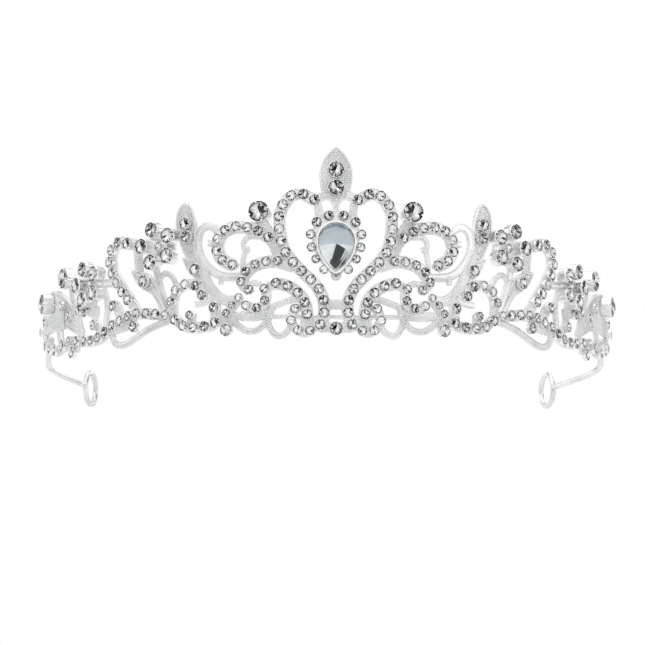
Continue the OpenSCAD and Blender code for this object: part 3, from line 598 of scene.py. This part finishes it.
ROUND_CUT = pattern_piece(cut_stone("round_cut", circle, 8, 0.5, 0.13, 0.14))
CUP = pattern_piece(cup_mesh())
PRONGS = pattern_piece(prong_mesh())
CAST_BAR, GRAINS, SETTING, DRAWN_WIRE = make_cast_bar(), make_milled_grains(), make_setting(), make_drawn_wire()


# ---------------------------------------------------------------- building and finishing pieces

def mirrored(mesh):
    """The left-hand copy of a right-hand mesh."""
    copy = mesh.copy()
    copy.transform(Matrix.Scale(-1, 4, (1, 0, 0)))
    copy.flip_normals()
    return copy


def finish_piece(node, meshes, smooth=True):
    """Joins meshes into the one piece that stands for a CAD node."""
    bm = bmesh.new()
    finishes = []
    for mesh in meshes:
        first = len(bm.faces)
        bm.from_mesh(mesh)
        bm.faces.ensure_lookup_table()
        for face in bm.faces[first:]:
            finish = mesh.materials[face.material_index]
            if finish not in finishes:
                finishes.append(finish)
            face.material_index = finishes.index(finish)
            face.smooth = smooth
    bmesh.ops.recalc_face_normals(bm, faces=bm.faces)
    joined = bpy.data.meshes.new(node + "_piece")
    bm.to_mesh(joined)
    bm.free()
    for finish in finishes:
        joined.materials.append(finish)
    if smooth:
        joined.set_sharp_from_angle(angle=math.radians(50))
    piece = bpy.data.objects.new(node + "_piece", joined)
    scene.collection.objects.link(piece)
    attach(piece, "root")
    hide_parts(node)
    return piece


def strand_meshes(width, finish, points):
    """A strand's bar and its grains or ridges."""
    line = line_mesh([[wrap(p) for p in curve(points)]])
    recess = 0.12 if finish in ("set", "grained") else 0
    bar = grown(CAST_BAR, line, Width=width * MM, Depth=(CAST_DEPTH - recess) * MM, Rounding=0.35 * MM,
                Material=CAST_SILVER)
    rows, spread, grain, pitch, stretch = 2, width - 0.6, GRAIN_R, GRAIN_PITCH, 1.0
    if finish == "grained":
        rows = max(2, round((width - 0.6) / GRAIN_PITCH) + 1)
    if finish == "ridged":
        rows, spread, grain, pitch, stretch = 1, 0, 0.26, RIDGE_PITCH, width / 0.52
    grains = grown(GRAINS, line, Rows=rows, Spread=spread * MM, Grain=grain * MM, Pitch=pitch * MM,
                   Stretch=stretch, Material=CAST_SILVER)
    return [bar, grains]


def leaf_meshes(points):
    """A leaf's plate, its smooth rim and the rows of grains inside it."""
    verts, faces = [], []
    pairs = leaf_sides(points)
    for left, right in pairs:
        verts += [wrap(left, BAND_R - CAST_DEPTH), wrap(left, BAND_R - LEAF_RECESS),
                  wrap(right, BAND_R - LEAF_RECESS), wrap(right, BAND_R - CAST_DEPTH)]
    for i in range(len(pairs) - 1):
        faces += [[4 * i + k, 4 * i + (k + 1) % 4, 4 * i + 4 + (k + 1) % 4, 4 * i + 4 + k] for k in range(4)]
    last = len(verts) - 4
    plate = mesh_of("leaf_plate", verts, faces + [[0, 1, 2, 3], [last + 3, last + 2, last + 1, last]])
    plate.materials.append(CAST_SILVER)

    def ring(inset, sink):
        sides = leaf_sides(points, inset)
        return [wrap(p, BAND_R - sink) for p in [a for a, b in sides] + [b for a, b in sides[::-1]]]

    rim = grown(CAST_BAR, line_mesh([ring(0.25, 0)], closed=True), Width=0.5 * MM,
                Depth=CAST_DEPTH * MM, Rounding=0.2 * MM, Material=CAST_SILVER)
    widest = max(p[2] for p in points) / 2
    insets = [0.85 + GRAIN_PITCH * k for k in range(int((widest - 1) / GRAIN_PITCH) + 1)]
    grains = grown(GRAINS, line_mesh([ring(inset, LEAF_RECESS - 0.05) for inset in insets], closed=True),
                   Rows=1, Spread=0.0, Grain=GRAIN_R * MM, Pitch=GRAIN_PITCH * MM, Stretch=1.0,
                   Material=CAST_SILVER)
    return [plate, rim, grains]


def casting_meshes(parts):
    meshes = []
    for part in parts:
        meshes += leaf_meshes(LEAVES[part]) if part in LEAVES else strand_meshes(*STRANDS[part])
    return meshes


def places_mesh(stones, sizes, lift, tilt):
    """Points for the settings. Each stone is (out matrix, diameter, cup height)."""
    mesh = mesh_of("places", [m @ Vector((0, 0, lift(d, h))) for m, d, h in stones], [])
    draw = random.Random(7)
    values = {"size": [], "out": [], "turn": []}
    for m, d, h in stones:
        lean = Vector((draw.uniform(-tilt, tilt), draw.uniform(-tilt, tilt), 1))
        spin = draw.uniform(0, math.pi)
        values["size"] += sizes(d, h)
        values["out"] += list((m.to_3x3() @ lean).normalized())
        values["turn"] += list((m.to_3x3() @ Vector((math.cos(spin), math.sin(spin), 0))).normalized())
    for name, numbers in values.items():
        mesh.attributes.new(name, "FLOAT_VECTOR", "POINT").data.foreach_set("vector", numbers)
    return mesh


def cup_meshes(stones):
    # A cup's seat takes the painted shadow as its second material
    cups = grown(SETTING, places_mesh(stones, lambda d, h: (d * MM, d * MM, h * MM), lambda d, h: 0, 0),
                 Pattern=CUP, Material=CUP_SILVER, Foil=SEAT_PAINTED_SHADOW)
    prongs = grown(SETTING, places_mesh(stones, lambda d, h: (d * MM,) * 3, lambda d, h: h - 0.06, 0),
                   Pattern=PRONGS, Material=CUP_SILVER, Foil=CUP_SILVER)
    return [cups, prongs]


def stone_meshes(stones):
    places = places_mesh(stones, lambda d, h: (d * STONE_FIT * MM,) * 3, lambda d, h: h - GIRDLE_GAP, 0.06)
    return [grown(SETTING, places, Pattern=ROUND_CUT, Material=STONE_CRYSTAL, Foil=STONE_FOIL_PAINTED_REFLECTIONS)]


def seat(p, d, h=CUP_H, r=BAND_R - CUP_SINK):
    """A stone's place on the band."""
    return (on_band(p, r), d, h)


def both_sides(node, meshes, smooth=True):
    finish_piece(node + "_right", meshes, smooth)
    finish_piece(node + "_left", [mirrored(m) for m in meshes], smooth)


# ---------------------------------------------------------------- castings

for casting, parts in CASTINGS.items():
    meshes = casting_meshes(parts)
    if casting == "tall_leaf":
        meshes += cup_meshes([seat((u, z), d) for u, z, d in TALL_STONES])
    both_sides(casting, meshes)

half_heart = casting_meshes(["heart", "heart_bridge", "heart_tip", "heart_tie", "heart_foot"])
finish_piece("centre_heart",
             half_heart + [mirrored(m) for m in half_heart])

peak_seats = [seat((u, z), d) for u, z, d in PEAK_STONES]
finish_piece("peak_leaf", leaf_meshes(LEAVES["peak"]) + cup_meshes(peak_seats))
tall_stones = stone_meshes([seat((u, z), d) for u, z, d in TALL_STONES])
finish_piece("leaf_stones", stone_meshes(peak_seats) + tall_stones
             + [mirrored(m) for m in tall_stones], smooth=False)

# ---------------------------------------------------------------- rows and single stones

for group, rows in ROWS.items():
    seats = [seat(p, d) for strand, count, d in rows for p in spaced(curve(STRANDS[strand][2], 3), count)]
    seats += [seat((u, z), d, DEEP_CUP_H if d > 4 else CUP_H) for u, z, d in LOOSE.get(group, [])]
    if group == "heart":
        base = [seat(BASE_STONE[:2], BASE_STONE[2])]
        for node, slot, make, smooth in (("heart_cups", "silver_plate", cup_meshes, True),
                                         ("heart_stones", "round_crystal", stone_meshes, False)):
            half = make(seats)
            finish_piece(node, half + [mirrored(m) for m in half] + make(base), smooth)
    else:
        both_sides(group + "_cups", cup_meshes(seats))
        both_sides(group + "_stones", stone_meshes(seats), smooth=False)

big_seat = [seat(BIG_STONE[:2], BIG_D, CAST_DEPTH + DEEP_CUP_H, BAND_R - CAST_DEPTH)]
for node, slot, make, smooth in (("big_stone_cups", "silver_plate", cup_meshes, True),
                                 ("big_round_stones", "round_crystal", stone_meshes, False)):
    half = make(big_seat)
    finish_piece(node, half + [mirrored(m) for m in half], smooth)

# ---------------------------------------------------------------- flowers

for flower, (centre, turn, ring_r, petal_d) in FLOWERS.items():
    petals = [(centre[0] + ring_r * math.cos(math.radians(turn + 72 * i)),
               centre[1] + ring_r * math.sin(math.radians(turn + 72 * i))) for i in range(5)]
    seats = [seat(p, petal_d, DEEP_CUP_H) for p in petals] + [seat(centre, FLOWER_CENTRE_D)]
    bm = bmesh.new()
    bmesh.ops.create_cone(bm, cap_ends=True, segments=40, radius1=ring_r, radius2=ring_r,
                          depth=CAST_DEPTH, matrix=Matrix.Translation((0, 0, -CAST_DEPTH / 2)))
    bmesh.ops.bevel(bm, geom=[e for e in bm.edges if len(e.link_faces) == 2
                              and e.calc_face_angle() > 1], offset=0.2, segments=2, affect="EDGES")
    plate = bpy.data.meshes.new("flower_plate")
    bm.to_mesh(plate)
    bm.free()
    plate.transform(on_band(centre))
    plate.materials.append(CAST_SILVER)
    both_sides(flower, [plate] + cup_meshes(seats))
    both_sides(flower + "_stones", stone_meshes(seats), smooth=False)

# ---------------------------------------------------------------- the pear stone and its halo

pear_base = on_band((0, PEAR_Z), BAND_R - CAST_DEPTH)


def pear_line(w, h, z, n=96):
    return [pear_base @ Vector((*drop(w, h, k / n), z)) for k in range(n)]


def drop_edge(w, h, z):
    """Outline of a drop centred at height z, as points of the flat pattern."""
    return [drop(w, h, k / 96) + Vector((0, z)) for k in range(96)]


def plate_mesh(outer, inner, low, high, material):
    """Closed plate between an outer and an inner outline of the pear's flat plane."""
    n = len(outer)
    verts = [pear_base @ Vector((p[0], p[1] - PEAR_Z, z)) for z in (low, high) for p in outer + inner]
    faces = []
    for k in range(n):
        m = (k + 1) % n
        for a, b in ((0, 2), (2, 3), (3, 1), (1, 0)):
            faces.append([a * n + k, a * n + m, b * n + m, b * n + k])
    mesh = mesh_of("plate", verts, faces)
    mesh.materials.append(material)
    return mesh


bezel = grown(CAST_BAR, line_mesh([pear_line(PEAR_W + BEZEL_WALL, PEAR_H + BEZEL_WALL,
                                             CAST_DEPTH + BEZEL_H)], closed=True),
              Width=BEZEL_WALL * MM, Depth=(CAST_DEPTH + BEZEL_H) * MM, Rounding=0.25 * MM,
              Material=CUP_SILVER)
back_edge = drop_edge(PEAR_W + BEZEL_WALL, PEAR_H + BEZEL_WALL, PEAR_Z)
floor_plate = plate_mesh(back_edge, [Vector((0, PEAR_Z)) + (p - Vector((0, PEAR_Z))) * 0.01
                                     for p in back_edge], 0, BEZEL_FLOOR, CUP_SILVER)
finish_piece("pear_bezel", [bezel, floor_plate])

# Back facets of the pear stone, seen through its table, each a plate whose tone is a painted reflection: tone,
# then corners from its centre
PEAR_BACK = [
    (0.1, [(0.1, 1), (2.3, -0.3), (0.9, -3.5), (-0.1, -5.2), (-1.3, -3.7)]),
    (0.3, [(1.1, -3.5), (2.4, -2.2), (1.9, -3.9), (0.5, -5)]),
    (0.9, [(-4, 0.6), (-0.2, 1.1), (-1.5, -3.6), (-0.4, -5.4), (-2.8, -3.2)]),
    (0.9, [(0.4, 1.1), (4, 0.6), (2.8, -2.4), (2.5, -0.4)]),
    (0.6, [(-4.2, 2.4), (-3.4, 4.2), (-1.6, 5.5), (0, 5.9), (1.6, 5.5), (3.4, 4.2), (4.2, 2.4), (2.6, 4.2),
           (0, 5), (-2.6, 4.2)]),
]
facet_meshes = []
for tone, corners in PEAR_BACK:
    n = len(corners)
    verts = [pear_base @ Vector((x, y, z)) for z in (GLASS_FLOOR - 0.06, GLASS_FLOOR - 0.02)
             for x, y in corners]
    faces = [list(range(n)), list(range(n, 2 * n))[::-1]]
    faces += [[k, n + k, n + (k + 1) % n, (k + 1) % n] for k in range(n)]
    facet = mesh_of("pear_facet", verts, faces)
    facet.attributes.new("tone", "FLOAT", "FACE").data.foreach_set("value", [tone] * len(faces))
    facet.materials.append(PEAR_FACETS_PAINTED_REFLECTIONS)
    facet_meshes.append(facet)
pear_cut = cut_stone("pear_cut", lambda t: drop(PEAR_W, PEAR_H, t), 10, 0.72, 0.8, 0.05, (0, 0.6), PEAR_W)
for v in pear_cut.vertices:
    v.co.z = v.co.z + GLASS_FLOOR + (CAST_DEPTH + GIRDLE_RISE - GLASS_FLOOR if v.co.z > 0.01 else 0)
pear_cut.transform(pear_base)
pear_cut.materials.append(PEAR_CRYSTAL)
finish_piece("pear_stone", [pear_cut] + facet_meshes, smooth=False)

foil_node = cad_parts["pear_foil"]
foil_node.data.materials.clear()
foil_node.data.materials.append(PEAR_FOIL)

halo_edge = drop_edge(HALO_W, HALO_H, HALO_Z)
bezel_edge = drop_edge(PEAR_W + 2 * BEZEL_WALL, PEAR_H + 2 * BEZEL_WALL, PEAR_Z)
halo_plate = plate_mesh(halo_edge, bezel_edge, 0, CAST_DEPTH - 0.1, CAST_SILVER)
tip = Vector((0, HALO_Z - HALO_H / 2 + 0.4))
tip_disc = plate_mesh([tip + circle(k / 24) * 2 * HALO_TIP_R for k in range(24)],
                      [tip + circle(k / 24) * 0.1 for k in range(24)], 0, CAST_DEPTH - 0.1, CAST_SILVER)


def flat_line(points):
    return [pear_base @ Vector((p[0], p[1] - PEAR_Z, CAST_DEPTH)) for p in points]


halo_rows = [flat_line(drop_edge(HALO_W - 0.6, HALO_H - 0.6, HALO_Z))]
halo_rows += [flat_line([tip + circle(k / 24) * 2 * r for k in range(24)]) for r in TIP_ROWS]
halo_grains = grown(GRAINS, line_mesh(halo_rows, closed=True), Rows=1, Spread=0.0, Grain=GRAIN_R * MM,
                    Pitch=GRAIN_PITCH * MM, Stretch=1.0, Material=CAST_SILVER)
halo_seats = [seat((u, z), d) for u, z, d in HALO_STONES]
for node, slot, make, smooth, plates in (
        ("halo_setting", "silver_plate", cup_meshes, True, [halo_plate, tip_disc, halo_grains]),
        ("halo_stones", "round_crystal", stone_meshes, False, [])):
    half = make(halo_seats)
    finish_piece(node, plates + half + [mirrored(m) for m in half], smooth)

# ---------------------------------------------------------------- wires, bar and solder

end_point = Vector(WIRE_ROUTE[-1])
loop_at = end_point + LOOP_R * Vector((-math.sin(LOOP_TURN), math.cos(LOOP_TURN), -0.1))
loop_plane = Matrix.Translation(loop_at) @ Matrix.Rotation(LOOP_TURN, 4, "Z") \
    @ Matrix.Rotation(math.pi / 2, 4, "Y")
route = grown(DRAWN_WIRE, line_mesh([[p * MM for p in curve(WIRE_ROUTE)]]), Radius=WIRE_D / 2 * MM,
              Material=WIRE_SILVER)
loop = grown(DRAWN_WIRE, line_mesh([[(loop_plane @ Vector((LOOP_R * math.cos(a), LOOP_R * math.sin(a), 0)))
                                     * MM for a in (2 * math.pi * k / 48 for k in range(48))]],
                                   closed=True), Radius=WIRE_D / 2 * MM, Material=WIRE_SILVER)
both_sides("end_wire", [route, loop])

bar_y = -math.sqrt((BAND_R - CAST_DEPTH) ** 2 - (BAR_LEN / 2 - 1) ** 2) + BAR_D / 2
bar_line = [Vector((x, bar_y, BAR_Z)) * MM for x in (-BAR_LEN / 2, 0, BAR_LEN / 2)]
finish_piece("back_bar", [grown(DRAWN_WIRE, line_mesh([bar_line]), Radius=BAR_D / 2 * MM,
                                                 Material=WIRE_SILVER)])

bm = bmesh.new()
for side in (-1, 1):
    for x, y, z in ((BAR_LEN / 2 - 1.6, bar_y, BAR_Z), WIRE_ROUTE[0]):
        spot = Matrix.Translation(Vector((side * x, y, z)) * MM)
        bmesh.ops.create_icosphere(bm, subdivisions=4, radius=SOLDER_D / 2 * MM, matrix=spot)
beads = bpy.data.meshes.new("solder_beads_piece")
bm.to_mesh(beads)
bm.free()
beads.materials.append(SOLDER)
finish_piece("solder_beads", [beads])

# ---------------------------------------------------------------- studio and camera

floor = bpy.data.objects.new("pale_floor", mesh_of("pale_floor", [(-3, -3, -0.13), (3, -3, -0.13),
                             (3, 3, -0.13), (-3, 3, -0.13)], [[0, 1, 2, 3]]))
matte, floor_tree, floor_shader, floor_place = finish_tree("matte_white_paper")
paper, _ = mottled(floor_tree, floor_place, 40, linear("#f2f2f2"), linear("#f8f8f8"))
floor_tree.links.new(paper, floor_shader.inputs["Base Color"])
floor_shader.inputs["Roughness"].default_value = 0.9
floor.data.materials.append(matte)
scene.collection.objects.link(floor)

world = bpy.data.worlds.new("white_studio")
world.use_nodes = True
scene.world = world
sky = world.node_tree
sky.nodes.clear()
direction = add(sky, "ShaderNodeTexCoord").outputs["Generated"]
cells = add(sky, "ShaderNodeTexVoronoi", {"Vector": direction, "Scale": 4.5})
panels = add(sky, "ShaderNodeValToRGB", {"Fac": cells.outputs["Color"]})
panels.color_ramp.elements[0].position = 0.33
panels.color_ramp.elements[0].color = (0.12, 0.12, 0.13, 1)
panels.color_ramp.elements[1].position = 0.45
panels.color_ramp.elements[1].color = (1, 1, 1, 1)
studio = add(sky, "ShaderNodeBackground", {"Color": panels.outputs[0], "Strength": 1.25})
backdrop = add(sky, "ShaderNodeBackground", {"Color": (1, 1, 1, 1), "Strength": 1.0})
seen = add(sky, "ShaderNodeMixShader", {0: add(sky, "ShaderNodeLightPath").outputs["Is Camera Ray"],
                                        1: studio.outputs[0], 2: backdrop.outputs[0]})
add(sky, "ShaderNodeOutputWorld", {"Surface": seen.outputs[0]})


def softbox(name, at, towards, size, power):
    """A square soft light that faces a point."""
    light = bpy.data.lights.new(name, "AREA")
    light.size, light.energy = size, power
    lamp = bpy.data.objects.new(name, light)
    lamp.location = at
    lamp.rotation_euler = (Vector(towards) - Vector(at)).to_track_quat("-Z", "Y").to_euler()
    scene.collection.objects.link(lamp)


softbox("key_softbox", (-0.5, -0.7, 0.8), (0, -0.05, 0.02), 0.5, 1.0)
softbox("fill_softbox", (0.8, -0.6, 0.4), (0, -0.05, 0.02), 0.6, 0.7)
softbox("top_softbox", (0, 0.1, 1.0), (0, 0, 0), 0.8, 1.0)

CAMERA_AT = Vector((-0.03839, -0.99926, -0.110))
CAMERA_AIM = Vector((-0.0034, -0.0765, 0.0039))
camera = bpy.data.objects.new("camera", bpy.data.cameras.new("camera"))
camera.data.lens = 205.6
camera.data.clip_start, camera.data.clip_end = 0.05, 20
camera.location = CAMERA_AT
camera.rotation_euler = (CAMERA_AIM - CAMERA_AT).to_track_quat("-Z", "Y").to_euler()
scene.collection.objects.link(camera)
scene.camera = camera
scene.view_settings.view_transform = "Standard"
